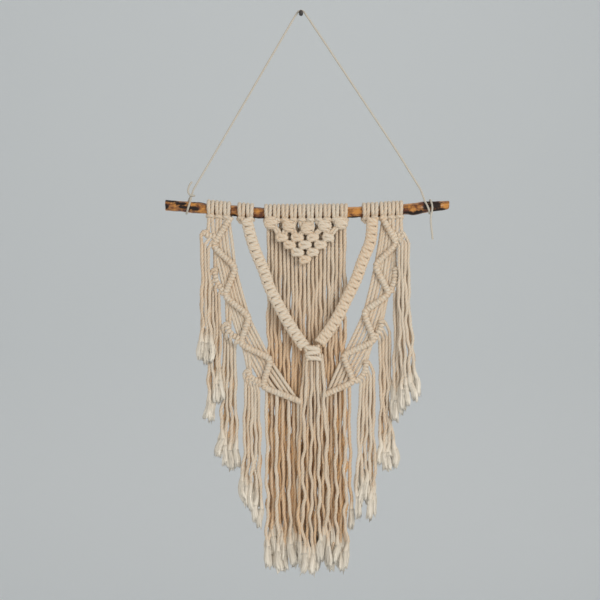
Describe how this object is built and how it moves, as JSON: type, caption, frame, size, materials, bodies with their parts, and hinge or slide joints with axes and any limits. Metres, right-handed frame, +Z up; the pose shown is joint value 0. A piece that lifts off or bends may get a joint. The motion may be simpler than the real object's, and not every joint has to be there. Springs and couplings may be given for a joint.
{
  "type": "macrame wall hanging on a wooden branch with its hanging nail",
  "caption": "Knotted cotton wall hanging with berry knots, a V of square-knot bands, zigzag side panels and a tiered fringe, on a lacquered branch hung by a cord from a nail.",
  "frame": {"origin": "foot of the nail on the wall plane", "axes": "+Z up, +Y into the wall, so the front faces -Y, and +X to the right as seen from the front"},
  "size_m": [0.399, 0.0314, 0.789],
  "materials": {
    "natural_cotton": "matte twisted natural cotton cord",
    "hanger_cotton": "matte thin cotton cord",
    "lacquered_wood": "glossy lacquer over golden wood with dark bark patches",
    "nail_steel": "dull dark steel"
  },
  "bodies": {
    "root": {"branch": "lacquered_wood", "nail": "nail_steel", "hanging_cord": "hanger_cotton", "cord_wrap_left": "hanger_cotton", "cord_wrap_right": "hanger_cotton", "cord_tail_left": "hanger_cotton", "cord_tail_right": "hanger_cotton", "heading_left": "natural_cotton", "heading_band_left": "natural_cotton", "heading_centre": "natural_cotton", "heading_band_right": "natural_cotton", "heading_right": "natural_cotton", "knot_net": "natural_cotton", "band_left": "natural_cotton", "band_right": "natural_cotton", "band_join": "natural_cotton", "zigzag_left": "natural_cotton", "zigzag_right": "natural_cotton", "fringe_centre": "natural_cotton", "fringe_band": "natural_cotton", "fringe_foot_left": "natural_cotton", "fringe_foot_right": "natural_cotton", "fringe_left_1": "natural_cotton", "fringe_left_2": "natural_cotton", "fringe_left_3": "natural_cotton", "fringe_left_4": "natural_cotton", "fringe_right_1": "natural_cotton", "fringe_right_2": "natural_cotton", "fringe_right_3": "natural_cotton", "fringe_right_4": "natural_cotton"}
  },
  "joints": []
}
